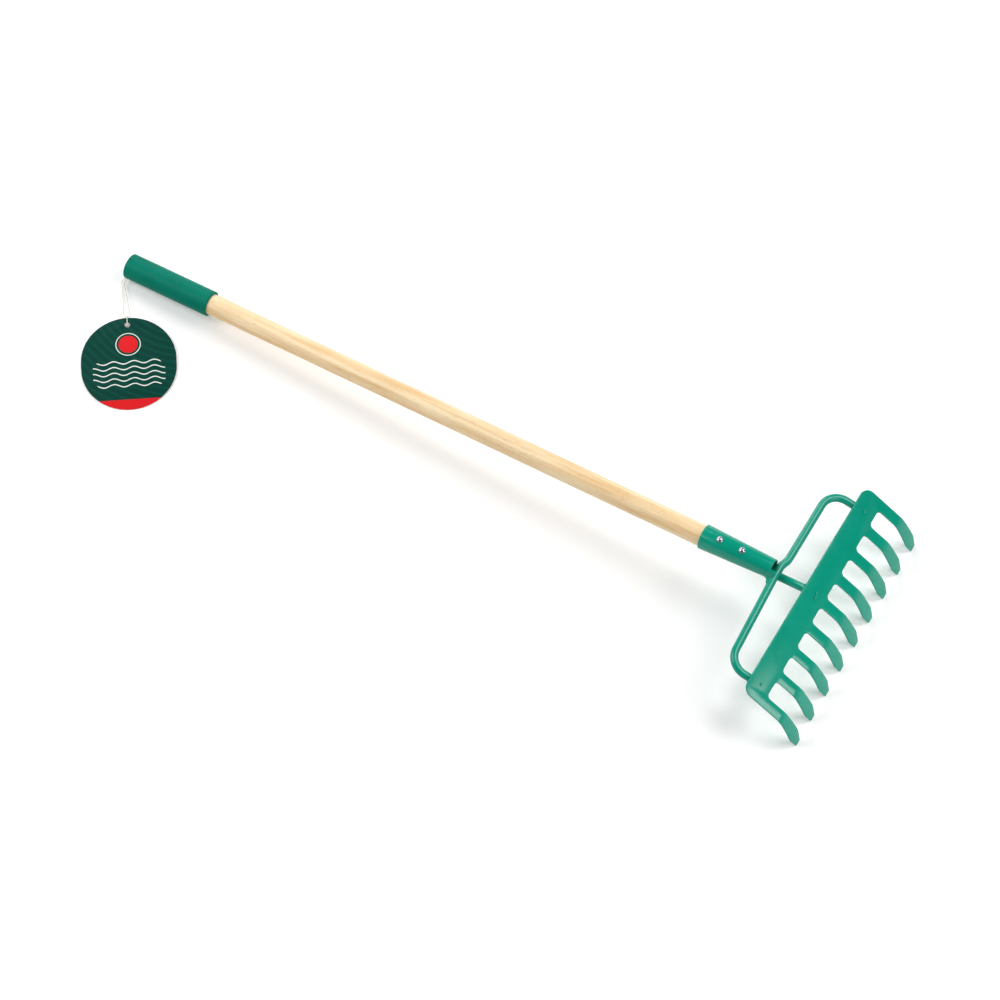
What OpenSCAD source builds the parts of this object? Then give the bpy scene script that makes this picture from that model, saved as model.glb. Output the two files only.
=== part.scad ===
// Long-handled children's bow rake, lying on its tine tips and on the end of its grip.
// Millimetres. +X runs along the handle to the head, +Y along the row of tines, +Z is up.
// The origin is on the floor, under the middle of the rake's box.

/* [Handle] */
// diameter of the wooden shaft
shaft_d = 20; // [14:0.5:30]
// bare wood between the grip and the ferrule
bare_len = 528; // [300:1:900]
// wall of the grip sleeve
grip_wall = 2.25; // [1.5:0.05:5]
// length of the grip sleeve with its closed end
grip_len = 92; // [60:1:160]
// thickness of the grip's closed end
grip_end_wall = 9; // [7:0.5:20]
// rounding of the grip's outer edges
grip_edge_r = 0.75; // [0.5:0.25:2.25]
// clearance between the shaft and what it is pushed into
push_gap = 0.05; // [0.02:0.01:0.2]

/* [Ferrule] */
// length of the tapered steel ferrule
ferrule_len = 71; // [56:1:120]
// wall of the ferrule
ferrule_wall = 1.4; // [0.8:0.1:2.5]
// play round the shaft at the ferrule's mouth
ferrule_play = 0.5; // [0.2:0.05:1]
// how much the ferrule's diameter shrinks from its mouth to its front
ferrule_taper = 5.2; // [2:0.2:6]
// empty length between the shaft's tip and the ferrule's front
ferrule_hollow = 9; // [4:0.5:20]

/* [Rivets] */
// diameter of a rivet's domed head
rivet_head_d = 6.5; // [4:0.25:9]
// height of the head
rivet_head_h = 1.8; // [1:0.1:2]
// diameter of a rivet's shank
rivet_shank_d = 3; // [2:0.1:4]
// length of the shank below the head
rivet_shank_len = 12; // [8:0.5:16]
// distance from the ferrule's mouth to the first rivet
rivet_first = 17.5; // [8:0.5:24]
// distance between the two rivets
rivet_pitch = 22.5; // [10:0.5:30]
// how far the rivets are turned off the ferrule's top line, in degrees
rivet_roll = 6; // [0:1:20]

/* [Bow] */
// diameter of the bent bow rod
bow_rod_d = 7.5; // [5:0.25:8]
// distance from the plate's side edge to the line of a bow leg
bow_inset = 18.25; // [14:0.25:40]
// bending radius of the bow's corners
bow_corner_r = 17.5; // [10:0.5:18]
// how far the left arm is bent ahead of the bow's middle
bow_kink = 2.8; // [0:0.1:6]
// how far the two legs stand off the middle, towards the left
bow_shift = -2.5; // [-4:0.5:4]
// half the length of the straight middle
bow_kink_flat = 7; // [4:0.5:10]
// where the left arm starts, measured from the middle
bow_arm_start = 15; // [14:0.5:24]
// how far the left arm sweeps forward, in degrees
bow_sweep_left = 0; // [0:0.5:6]
// how far the right arm sweeps forward, in degrees
bow_sweep_right = 3; // [0:0.5:6]
// how far the bow's plane leans down from the handle's line, in degrees
bow_lean = 18; // [0:1:20]
// open slot between the ferrule's front and the bow rod
bow_slot = 0.8; // [0.5:0.1:5]

/* [Strut] */
// diameter of the straight middle strut
strut_d = 7.75; // [4:0.25:8]
// how far the strut's line lies below the ferrule's front edge
strut_drop = -0.7; // [-1:0.1:1]
// gap that a weld closes
weld_gap = 0.05; // [0.02:0.01:0.2]
// width of a weld bead round a rod
bead_w = 1; // [0.5:0.1:3]
// length of a weld bead along a rod
bead_len = 2; // [1.5:0.25:6]
// concave radius of the weld between the ferrule and the bow
weld_fillet_r = 5.5; // [2:0.5:6]
// height of that concave weld
weld_fillet_h = 3.5; // [2:0.25:5]
// how far the ferrule's weld is turned towards its lower side, in degrees
weld_roll = 25; // [0:5:60]
// distance from the handle's line to the edge of the ferrule's weld
weld_offset = 1.25; // [0:0.25:3]

/* [Head plate] */
// number of tines
tine_count = 9; // [5:1:11]
// distance between neighbouring tines
tine_pitch = 28; // [27.5:0.1:32]
// width of a tine at its root
tine_w = 10.5; // [8:0.25:14]
// width of a tine where its tip starts to taper
tine_wide = 13.4; // [8:0.1:16]
// thickness of the sheet
sheet_t = 1.8; // [1.2:0.1:2.4]
// width of the unbroken band above the gaps
band_w = 23.6; // [20:0.2:28]
// distance from the ferrule's front to the band's upper edge
head_reach = 32.5; // [30:0.5:50]
// height of the band's upper edge above the strut's line
head_rise = 5; // [5:0.2:10]
// downward slope of the flat band, in degrees
band_slope = 37.5; // [32:0.5:42]
// length of the flat part, from the upper edge to the bend
flat_len = 43; // [38:0.5:50]
// outer radius of the bend below the flat part
bend_r = 22; // [12:0.5:40]
// slope at the end of that bend, in degrees
bend_slope = 62; // [55:0.5:66]
// outer radius of the tines' long curve
tine_r = 152; // [100:1:200]
// slope of the tine tips, in degrees
tip_slope = 75; // [70:0.5:80]
// radius of the plate's upper corners
plate_corner_r = 10; // [2:0.5:12]
// radius in the corners of a gap's root
root_r = 4; // [1:0.25:6]
// length of a tine's tapered tip
tip_len = 12; // [8:0.5:18]
// width of the blunt end
tip_end_w = 7.2; // [4:0.2:8]
// radius of the blunt end's corners
tip_corner_r = 1.6; // [0.5:0.1:1.9]

/* [Hang tag] */
// width of the round card
tag_w = 90; // [60:1:100]
// straight stretch between the card's two half rounds
tag_straight = 7; // [0:0.5:20]
// thickness of the card
tag_t = 0.8; // [0.6:0.1:1.2]
// diameter of the punched hole
tag_hole_d = 5; // [4:0.25:8]
// card left between the hole and the card's edge
tag_hole_margin = 5; // [3:0.25:8]
// direction in which the card lies away from its string, in degrees
tag_heading = -55.5; // [-70:0.5:-40]
// diameter of the string
cord_d = 1; // [0.8:0.1:1.4]
// air between the string and what it passes through or round
cord_gap = 0.3; // [0.1:0.05:0.5]
// diameter of the slanted hole in the corner of the grip's closed end
hang_hole_d = 3.6; // [3.2:0.1:4.4]
// distance from the closed end to the point where that hole's line leaves the grip's side
hang_hole_in = 2; // [1:0.1:3]
// depth of that hole below the grip's side, along its line
hang_hole_depth = 6.5; // [6:0.1:7]
// how far below the side of the grip that hole lies, in degrees
hang_hole_roll = 34; // [20:1:45]

/* [Hidden] */
$fn = 64;
eps = 0.01;
seam_len = 0.4;
seam_rise = 0.06;
arc_steps = 8;
wood_c = [0.86, 0.72, 0.52];
grip_c = [0.0, 0.36, 0.28];
steel_green_c = [0.0, 0.56, 0.45];
rivet_c = [0.78, 0.78, 0.8];
card_c = [0.0, 0.3, 0.24];
string_c = [0.95, 0.95, 0.93];

// Diameters that follow from the shaft.
grip_d = shaft_d + 2 * grip_wall + 2 * push_gap;
ferrule_mouth_d = shaft_d + 2 * ferrule_play + 2 * ferrule_wall;
ferrule_front_d = ferrule_mouth_d - ferrule_taper;

// Stations along the handle, counted from the grip's closed end, and depths of the rods' lines.
shaft_start_x = grip_end_wall + push_gap;
ferrule_mouth_x = grip_len + bare_len;
ferrule_front_x = ferrule_mouth_x + ferrule_len;
shaft_tip_x = ferrule_front_x - ferrule_hollow;
bow_x = ferrule_front_x + bow_slot + bow_rod_d / 2;
edge_x = ferrule_front_x + head_reach;
strut_z = -ferrule_front_d / 2 - strut_drop;
bow_z = strut_z + (strut_d + bow_rod_d) / 2 + weld_gap;

// The ferrule's inner cone and the place where the shaft's own taper begins.
ferrule_draft = ferrule_taper / 2 / ferrule_len;
bore_mouth_r = ferrule_mouth_d / 2 - ferrule_wall;
function outer_r(x) = ferrule_mouth_d / 2 - (x - ferrule_mouth_x) * ferrule_draft;
function bore_r(x) = bore_mouth_r - (x - ferrule_mouth_x) * ferrule_draft;
taper_x = ferrule_mouth_x + max(0, bore_mouth_r - push_gap - shaft_d / 2) / ferrule_draft;

// The plate's profile in the plane of the handle: a flat band, a bend and a long curve.
function along(a) = [cos(a), -sin(a)];
function outward(a) = [sin(a), cos(a)];
edge_p = [edge_x, strut_z + head_rise];
flat_end_p = edge_p + flat_len * along(band_slope);
bend_c = flat_end_p - bend_r * outward(band_slope);
bend_end_p = bend_c + bend_r * outward(bend_slope);
tine_c = bend_end_p - tine_r * outward(bend_slope);
tip_p = tine_c + tine_r * outward(tip_slope);
tip_in_p = tip_p - sheet_t * outward(tip_slope);
gap_w = tine_pitch - tine_w;
flare = (tine_wide - tine_w) / 2;
plate_half = (tine_count - 1) / 2 * tine_pitch + tine_w / 2;
// Where a tine is widest, measured down the slope of the band.
wide_slope = tip_slope - tip_len / tine_r * 180 / PI;
wide_s = (tine_c + tine_r * outward(wide_slope) - edge_p) * along(band_slope);
cut_reach = 2 * (flat_len + tine_r);
cut_depth = flat_len + tip_len;
bow_half_w = plate_half - bow_inset;

// The rake lies on the tips' inner edge and on the rounded edge of the grip's end.
grip_rim = grip_d / 2 - grip_edge_r;
rest_span = tip_in_p - [grip_edge_r, -grip_rim];
lay = -atan2(rest_span[1], rest_span[0]) - asin(grip_edge_r / norm(rest_span));
floor_z = tip_in_p[0] * sin(lay) + tip_in_p[1] * cos(lay);
back_x = grip_edge_r * cos(lay) - grip_rim * sin(lay) - grip_edge_r;
front_x = tip_p[0] * cos(lay) - tip_p[1] * sin(lay);
middle_x = (back_x + front_x) / 2;

// The bow's centreline in its own plane, from one leg's end to the other's.
left_y = bow_shift + bow_half_w;
right_y = bow_shift - bow_half_w;
left_end_s = bow_kink + (left_y - bow_arm_start) * tan(bow_sweep_left);
right_end_s = (-right_y - bow_kink_flat) * tan(bow_sweep_right);
leg_end_s = head_reach + band_w;
bow_path = [
    [leg_end_s, right_y],
    [right_end_s, right_y],
    [0, -bow_kink_flat],
    [0, bow_kink_flat],
    [bow_kink, bow_arm_start],
    [left_end_s, left_y],
    [leg_end_s, left_y]
];
bow_kink_r = 2 * bow_rod_d;
bow_ease_r = 6 * bow_rod_d;
bow_radii = [0, bow_corner_r, bow_ease_r, bow_kink_r, bow_kink_r, bow_corner_r, 0];

// Distance along a bow leg, and along the strut, to the band's inner face on the rod's line.
inner_p = edge_p - sheet_t * outward(band_slope);
function reach_to_band(p, lean) =
    ((inner_p - p) * outward(band_slope)) / (along(lean) * outward(band_slope));
leg_reach = reach_to_band([bow_x, bow_z], bow_lean);
strut_reach = reach_to_band([ferrule_front_x, strut_z], 0);

// The string: out of the hole in the grip's corner, round the card's loop and back into the hole.
// Its points count from the floor below the middle of the grip's closed end.
cord_from = [-middle_x, 0, 0];
cord_bight = [25, -45.6, 4.6];
cord_route = [
    [6.9, -7.6, 7.9],
    [5.8, -8.5, 7.2],
    [4.2, -9.9, 6.2],
    [2.6, -11.4, 5.1],
    [1.7, -13.3, 4.2],
    [2.5, -15.4, 3.7],
    [5.2, -18.5, 3.5],
    [8, -21.5, 3.4],
    [10.7, -24.6, 3.4],
    [13.4, -27.6, 3.5],
    [16.2, -30.7, 3.7],
    [18.9, -33.7, 4],
    [21.6, -36.8, 4.3],
    [24, -39.3, 4.5],
    [25.8, -41.4, 4.6],
    [26.2, -43.7, 4.6],
    cord_bight,
    [22.8, -46.1, 4.6],
    [20.8, -44.8, 4.6],
    [18.9, -42.1, 4.4],
    [16.6, -39.1, 4.1],
    [14.2, -35.7, 3.6],
    [11.8, -32.4, 3.2],
    [9.4, -29.1, 2.9],
    [7, -25.8, 2.7],
    [4.6, -22.5, 2.6],
    [2.2, -19.2, 2.6],
    [-0.2, -15.9, 2.7],
    [-1.1, -13.5, 3.1],
    [-0.1, -11.3, 4],
    [1.5, -9.9, 5.1],
    [3.1, -8.5, 6.2],
    [4.8, -7.1, 7.3],
    [5.7, -6.2, 7.9]
];
cord_sides = 8;
cord_steps = 2;

// The card hangs by a small loop on the string's turn, and its far edge touches the floor.
tag_len = tag_w + tag_straight;
tag_out = cord_d / 2 + cord_gap;
tag_reach = [tag_out + tag_len, tag_t / 2];
tag_tilt = asin(cord_bight[2] / norm(tag_reach)) - atan2(tag_reach[1], tag_reach[0]);
hitch_r = max(tag_t, cord_d) / 2 + cord_gap + cord_d / 2;
hitch_start = hitch_r - cord_d - cord_gap;
hole_x = tag_out + tag_hole_margin + tag_hole_d / 2;

// Takes a shape from the handle's own line to where the rake lies on the floor.
module lying() {
    translate([-middle_x, 0, -floor_z]) rotate([0, -lay, 0]) children();
}

// A round body along the handle, from a profile of radius against distance.
module turned() {
    rotate([0, 90, 0]) rotate_extrude() children();
}

// A round rod along X between two stations, at a depth below the handle's line.
module rod_x(x0, x1, d, z = 0) {
    translate([x0, 0, z]) rotate([0, 90, 0]) cylinder(d = d, h = x1 - x0);
}

// A rod bent in the XY plane along a line of points, with a radius at each inner point, grown by a gap.
function heading(p, i) = atan2(p[i + 1][1] - p[i][1], p[i + 1][0] - p[i][0]);
function wrap(a) = a > 180 ? a - 360 : a < -180 ? a + 360 : a;
function turn(p, i) = wrap(heading(p, i) - heading(p, i - 1));
function cut_back(p, radii, i) =
    i == 0 || i == len(p) - 1 ? 0 : radii[i] * tan(abs(turn(p, i)) / 2);

module bent_rod(p, radii, rod_d, gap) {
    d = rod_d + 2 * gap;
    for (i = [0 : len(p) - 2]) {
        length = norm(p[i + 1] - p[i]) - cut_back(p, radii, i) - cut_back(p, radii, i + 1);
        translate(p[i]) rotate([0, 0, heading(p, i)]) translate([cut_back(p, radii, i), 0, 0]) {
            rod_x(0, length, d);
            if (i > 0) seam_ring(0, d, gap);
            if (i < len(p) - 2) seam_ring(length, d, gap);
        }
    }
    for (i = [1 : len(p) - 2]) {
        side = sign(turn(p, i));
        translate(p[i]) rotate([0, 0, heading(p, i - 1)])
            translate([-cut_back(p, radii, i), side * radii[i], 0])
            rotate([0, 0, side > 0 ? -90 : 90 - abs(turn(p, i))])
            rotate_extrude(angle = abs(turn(p, i))) translate([radii[i], 0]) circle(d = d);
    }
}

// A hair-thin ring over the seam between a straight stretch and a bend, which makes them one piece.
module seam_ring(x, d, gap) {
    rod_x(x - seam_len - gap, x + seam_len + gap, d + 2 * seam_rise);
}

module bow_line(gap) {
    translate([bow_x, 0, bow_z]) rotate([0, bow_lean, 0]) bent_rod(bow_path, bow_radii, bow_rod_d, gap);
}

// Everything on the tine side of the band's inner face, less a gap.
module beyond_band(gap) {
    translate([edge_p[0], 0, edge_p[1]]) rotate([0, band_slope, 0])
        translate([-cut_reach / 2, -plate_half, -sheet_t - gap])
        cube([cut_reach, 2 * plate_half, cut_reach]);
}

module handle_shaft() {
    color(wood_c) lying() difference() {
        turned() polygon([
            [0, shaft_start_x],
            [shaft_d / 2, shaft_start_x],
            [shaft_d / 2, taper_x],
            [bore_r(shaft_tip_x) - push_gap, shaft_tip_x],
            [0, shaft_tip_x]
        ]);
        for (i = [0, 1]) rivet_shape(i, push_gap);
    }
}

module grip_sleeve() {
    color(grip_c) lying() difference() {
        turned() union() {
            translate([0, grip_edge_r]) square([grip_d / 2, grip_len - 2 * grip_edge_r]);
            square([grip_rim, grip_len]);
            for (x = [grip_edge_r, grip_len - grip_edge_r])
                translate([grip_rim, x]) circle(r = grip_edge_r);
        }
        rod_x(grip_end_wall, grip_len + eps, shaft_d + 2 * push_gap);
        hang_hole();
    }
}

// A slanted blind hole in the corner between the grip's closed end and its side.
module hang_hole() {
    rotate([hang_hole_roll, 0, 0]) translate([hang_hole_in, -grip_d / 2, 0])
        rotate([0, 0, 45]) rod_x(-grip_end_wall, hang_hole_depth, hang_hole_d);
}

module ferrule() {
    color(steel_green_c) lying() difference() {
        turned() polygon([
            [bore_mouth_r, ferrule_mouth_x],
            [ferrule_mouth_d / 2, ferrule_mouth_x],
            [ferrule_front_d / 2, ferrule_front_x],
            [bore_r(ferrule_front_x), ferrule_front_x]
        ]);
        for (i = [0, 1]) rivet_shape(i, push_gap);
    }
}

// One rivet on the ferrule's upper side, grown by a gap when it cuts its own hole.
module rivet_shape(i, gap) {
    x = ferrule_mouth_x + rivet_first + i * rivet_pitch;
    seat = outer_r(x - rivet_head_d / 2) + weld_gap;
    dome_r = (pow(rivet_head_d / 2, 2) + pow(rivet_head_h, 2)) / (2 * rivet_head_h);
    rotate([rivet_roll, 0, 0]) translate([x, 0, seat]) {
        translate([0, 0, -rivet_shank_len - gap])
            cylinder(d = rivet_shank_d + 2 * gap, h = rivet_shank_len + gap + eps);
        if (gap == 0) intersection() {
            translate([0, 0, rivet_head_h - dome_r]) sphere(r = dome_r);
            cylinder(d = rivet_head_d, h = rivet_head_h);
        }
    }
}

module rivet_rear() { color(rivet_c) lying() rivet_shape(0, 0); }
module rivet_front() { color(rivet_c) lying() rivet_shape(1, 0); }

module bow_rod() {
    color(steel_green_c) lying() difference() {
        bow_line(0);
        beyond_band(weld_gap);
    }
}

module strut_line(d) {
    rod_x(ferrule_front_x + weld_gap, edge_x + band_w, d, strut_z);
}

module centre_strut() {
    color(steel_green_c) lying() difference() {
        strut_line(strut_d);
        beyond_band(weld_gap);
    }
}

// Points of an arc in the profile's plane, between two slopes.
function profile_arc(c, r, from, to) =
    [for (i = [0 : arc_steps]) c + r * outward(from + (to - from) * i / arc_steps)];
function reversed(list) = [for (i = [len(list) - 1 : -1 : 0]) list[i]];

// One face of the sheet, seen from its end, at a depth below the outer face.
function face_line(depth) = concat(
    [edge_p - depth * outward(band_slope)],
    profile_arc(bend_c, bend_r - depth, band_slope, bend_slope),
    [for (i = [1 : arc_steps]) profile_arc(tine_c, tine_r - depth, bend_slope, tip_slope)[i]]
);

// Solid of the pressed sheet before its gaps are cut.
module bent_sheet() {
    rotate([90, 0, 0]) linear_extrude(height = 2 * (plate_half + flare), center = true)
        polygon(concat(face_line(0), reversed(face_line(sheet_t))));
}

// Points of an arc in a flat outline, between two directions.
function outline_arc(c, r, from, to) =
    [for (i = [0 : arc_steps]) c + r * [cos(from + (to - from) * i / arc_steps),
                                        sin(from + (to - from) * i / arc_steps)]];
function mirrored(list) = [for (p = reversed(list)) [p[0], -p[1]]];

// One gap between tines, with rounded corners at its root, in the plane of the band.
module gap_outline() {
    corner = outline_arc([band_w + root_r, gap_w / 2 - root_r], root_r, 180, 90);
    half = concat(corner, [[flat_len, gap_w / 2], [wide_s, gap_w / 2 - flare], [cut_reach, gap_w / 2 - flare]]);
    polygon(concat(half, mirrored(half)));
}

// What is cut off one end of the plate: its upper corner, and the side of the last tine above its widest place.
module end_outline() {
    corner = outline_arc([plate_corner_r, plate_half - plate_corner_r], plate_corner_r, 180, 90);
    outside = plate_half + plate_corner_r;
    polygon(concat(corner, [[flat_len, plate_half], [wide_s, plate_half + flare], [wide_s, outside],
                            [-plate_corner_r, outside], [-plate_corner_r, plate_half - plate_corner_r]]));
}

// What is cut off one side of a tine at its tip: a taper and a round corner of the blunt end.
module tip_side_outline() {
    c = [-tip_corner_r, tip_end_w / 2 - tip_corner_r];
    to_side = [-tip_len, tine_wide / 2] - c;
    touch = atan2(to_side[1], to_side[0]) - acos(tip_corner_r / norm(to_side));
    polygon(concat(
        [[-tip_len, tine_wide / 2]],
        outline_arc(c, tip_corner_r, touch, 0),
        [[tip_corner_r, c[1]],
         [tip_corner_r, tine_wide / 2 + tip_corner_r],
         [-tip_len, tine_wide / 2 + tip_corner_r]]
    ));
}

module tine_plate() {
    color(steel_green_c) lying() difference() {
        bent_sheet();
        translate([edge_p[0], 0, edge_p[1]]) rotate([0, band_slope, 0]) {
            for (i = [0 : tine_count - 2])
                translate([0, (i + 1 - tine_count / 2) * tine_pitch, 0])
                linear_extrude(height = 2 * cut_depth, center = true) gap_outline();
            for (s = [0, 1]) mirror([0, s, 0])
                linear_extrude(height = 2 * cut_depth, center = true) end_outline();
        }
        translate([tip_p[0], 0, tip_p[1]]) rotate([0, tip_slope, 0])
            for (i = [0 : tine_count - 1]) for (s = [0, 1])
                translate([0, (i - (tine_count - 1) / 2) * tine_pitch, 0]) mirror([0, s, 0])
                linear_extrude(height = 4 * sheet_t, center = true) tip_side_outline();
    }
}

// Weld metal that closes the lower side of the ferrule's front onto the bow and the strut.
module weld_ferrule() {
    back = ferrule_front_x + weld_gap;
    color(steel_green_c) lying() difference() {
        union() {
            intersection() {
                rod_x(back, bow_x, ferrule_front_d);
                rotate([weld_roll, 0, 0]) translate([back - eps, -ferrule_front_d, -ferrule_front_d])
                    cube([2 * bow_rod_d, ferrule_front_d - weld_offset, 2 * ferrule_front_d]);
            }
            translate([back, -ferrule_front_d / 2, bow_z]) difference() {
                translate([-weld_fillet_r, -weld_fillet_r, -weld_fillet_h / 2])
                    cube([weld_fillet_r + bow_x - back, 2 * weld_fillet_r, weld_fillet_h]);
                translate([-weld_fillet_r, -weld_fillet_r, 0])
                    cylinder(r = weld_fillet_r, h = 2 * weld_fillet_h, center = true);
            }
        }
        bow_line(weld_gap);
        strut_line(strut_d + 2 * weld_gap);
        turned() polygon([
            [0, ferrule_mouth_x],
            [outer_r(ferrule_mouth_x) + weld_gap, ferrule_mouth_x],
            [outer_r(ferrule_front_x) + weld_gap, ferrule_front_x],
            [outer_r(ferrule_front_x) + weld_gap, back],
            [0, back]
        ]);
        translate([bow_x, 0, bow_z]) rotate([0, bow_lean, 0])
            translate([0, -cut_depth, -cut_depth]) cube(2 * cut_depth);
    }
}

// A bead round a rod where it meets the band's inner face; the rod runs along the local X axis.
module bead(d) {
    rotate([0, -90, 0]) cylinder(d1 = d + 2 * bead_w, d2 = d + 2 * weld_gap, h = bead_len);
    rotate([0, 90, 0]) cylinder(d = d + 2 * bead_w, h = d + bead_w);
}

module weld_bow(leg_y) {
    color(steel_green_c) lying() difference() {
        translate([bow_x, 0, bow_z]) rotate([0, bow_lean, 0])
            translate([leg_reach - bow_rod_d / 2, leg_y, 0]) bead(bow_rod_d);
        bow_line(weld_gap);
        beyond_band(weld_gap);
    }
}

module weld_bow_left() { weld_bow(left_y); }
module weld_bow_right() { weld_bow(right_y); }

module weld_strut() {
    color(steel_green_c) lying() difference() {
        translate([ferrule_front_x + strut_reach - strut_d / 2, 0, strut_z]) bead(strut_d);
        strut_line(strut_d + 2 * weld_gap);
        beyond_band(weld_gap);
    }
}

// Takes a shape from the card's own plane to where it lies: X runs down the card from the string's turn.
module on_card() {
    translate(cord_from + cord_bight) rotate([0, 0, tag_heading]) rotate([0, tag_tilt, 0]) children();
}

module tag_card() {
    r = tag_w / 2;
    color(card_c) on_card() linear_extrude(height = tag_t, center = true) difference() {
        translate([tag_out, 0]) union() {
            for (x = [r, r + tag_straight]) translate([x, 0]) circle(r = r);
            translate([r, -r]) square([tag_straight, tag_w]);
        }
        translate([hole_x, 0]) circle(d = tag_hole_d);
    }
}

// The small loop of string through the card's hole, round its edge and over the string's turn.
module tag_hitch() {
    color(string_c) on_card() rotate([90, 0, 0]) {
        translate([hitch_start, 0, 0]) rotate([0, 0, 90]) half_loop();
        translate([hole_x, 0, 0]) rotate([0, 0, -90]) half_loop();
        for (s = [-1, 1]) translate([0, s * hitch_r, 0]) rod_x(hitch_start, hole_x, cord_d);
    }
}

module half_loop() {
    rotate_extrude(angle = 180) translate([hitch_r, 0]) circle(d = cord_d);
}

// A smooth line through the route's points, with a few steps between neighbours.
function smooth_point(p, i, t) =
    let (
        a = p[max(i - 1, 0)],
        b = p[i],
        c = p[min(i + 1, len(p) - 1)],
        d = p[min(i + 2, len(p) - 1)]
    )
    b + t * (c - a) / 2 + t * t * (a - 2.5 * b + 2 * c - d / 2) + t * t * t * (1.5 * (b - c) + (d - a) / 2);
function smooth_line(p, steps) = concat(
    [for (i = [0 : len(p) - 2]) for (k = [0 : steps - 1]) smooth_point(p, i, k / steps)],
    [p[len(p) - 1]]
);

// A tube swept along a line of points, closed at both ends.
function mean_heading(p, i) =
    let (d = p[min(i + 1, len(p) - 1)] - p[max(i - 1, 0)]) d / norm(d);
function ring(p, i, r, sides) =
    let (
        d = mean_heading(p, i),
        a = cross(d, [0, 0, 1]) / norm(cross(d, [0, 0, 1])),
        b = cross(a, d)
    )
    [for (k = [0 : sides - 1]) p[i] + r * (cos(k * 360 / sides) * a + sin(k * 360 / sides) * b)];

module tube_along(p, d, sides) {
    points = [for (i = [0 : len(p) - 1]) each ring(p, i, d / 2, sides)];
    last = (len(p) - 1) * sides;
    walls = [for (i = [0 : len(p) - 2]) for (k = [0 : sides - 1]) each let (n = (k + 1) % sides) [
        [i * sides + k, (i + 1) * sides + k, (i + 1) * sides + n],
        [i * sides + k, (i + 1) * sides + n, i * sides + n]
    ]];
    near_cap = [for (k = [1 : sides - 2]) [0, k, k + 1]];
    far_cap = [for (k = [1 : sides - 2]) [last, last + k + 1, last + k]];
    polyhedron(points, concat(walls, near_cap, far_cap));
}

module tag_cord() {
    color(string_c) translate(cord_from)
        tube_along(smooth_line(cord_route, cord_steps), cord_d, cord_sides);
}

handle_shaft();
grip_sleeve();
ferrule();
rivet_rear();
rivet_front();
bow_rod();
centre_strut();
tine_plate();
weld_ferrule();
weld_bow_left();
weld_bow_right();
weld_strut();
tag_card();
tag_hitch();
tag_cord();
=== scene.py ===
# %% [markdown]
# # A long-handled sand rake
# This lesson dresses a finished engineering model of a child's rake for a studio picture. The model gives
# every size and place. Here the pieces that show are modelled again with Blender's own tools, so that
# their edges are rounded and their surfaces are smooth, and every piece gets a finish made of shader
# nodes.

# %% Load the engineering model
import math
import bpy
from mathutils import Euler, Matrix, Vector


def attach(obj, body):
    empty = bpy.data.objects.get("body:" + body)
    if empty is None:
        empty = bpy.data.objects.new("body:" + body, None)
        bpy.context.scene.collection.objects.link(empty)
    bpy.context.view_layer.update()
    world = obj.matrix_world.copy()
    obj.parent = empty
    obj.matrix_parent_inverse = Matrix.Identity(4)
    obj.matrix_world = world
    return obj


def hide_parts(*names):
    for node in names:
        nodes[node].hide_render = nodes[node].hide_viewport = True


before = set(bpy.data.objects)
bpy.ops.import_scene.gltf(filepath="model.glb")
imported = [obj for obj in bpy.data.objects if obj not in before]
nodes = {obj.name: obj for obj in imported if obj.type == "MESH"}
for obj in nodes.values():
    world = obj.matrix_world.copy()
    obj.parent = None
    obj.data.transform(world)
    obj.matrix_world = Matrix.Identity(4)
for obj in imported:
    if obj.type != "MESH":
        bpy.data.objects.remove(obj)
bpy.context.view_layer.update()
MM = 0.001
RAKE, TAG = "rake", "hang_tag"

# %% [markdown]
# ## The camera
# The picture was taken from high above the rake's front left. A long lens keeps the handle's two edges
# almost parallel. A camera can be aimed with a constraint, but a direction turned into a rotation is
# easier to read: the camera looks along its own -Z, so its +Z points back from the aim towards the eye.

# %% Place the camera
VIEW_TURN = math.radians(30.13)
VIEW_HEIGHT = math.radians(62.83)
VIEW_DISTANCE = 3.4104
VIEW_AIM = Vector((0.0384, -0.0366, 0.0047))
SENSOR_W, FOCAL_LEN = 36, 133.2
towards_eye = Vector((
    math.cos(VIEW_HEIGHT) * math.sin(VIEW_TURN),
    -math.cos(VIEW_HEIGHT) * math.cos(VIEW_TURN),
    math.sin(VIEW_HEIGHT),
))
lens = bpy.data.cameras.new("studio_camera")
lens.sensor_width = SENSOR_W
lens.lens = FOCAL_LEN
camera = bpy.data.objects.new("studio_camera", lens)
camera.location = VIEW_AIM + VIEW_DISTANCE * towards_eye
camera.rotation_euler = towards_eye.to_track_quat("Z", "Y").to_euler()
bpy.context.scene.collection.objects.link(camera)
bpy.context.scene.camera = camera
print("camera at", [round(v, 3) for v in camera.location])

# %% [markdown]
# ## Two benches
# The rake lies on its tine tips and on the end of its grip, so its handle slopes a little. It is easier to
# model on a level bench, with X along the handle from the grip's closed end, and to lay the piece down at
# the end. The card has a bench of its own, with X running down the card from the turn of its string.
# Applying the transform puts each piece's place in its mesh and leaves the object at the origin.

# %% Benches and small helpers
LAY = math.radians(4.2194)
HANDLE_MIDDLE = 389.1871 * MM
HANDLE_HEIGHT = 12.2135 * MM
lying = Matrix.Translation((-HANDLE_MIDDLE, 0, HANDLE_HEIGHT)) @ Matrix.Rotation(-LAY, 4, "Y")
PAINT_SLOT, STRING_SLOT, CARD_SLOT, STEEL_SLOT = "green_steel", "string", "card", "rivet_steel"
LEVEL = Matrix.Identity(4)
MERGE_REACH = 0.002 * MM
CREASE, STRING_CREASE, PLATE_CREASE, MARK_CREASE, NO_CREASE = 40, 60, 35, 60, 180


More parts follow.
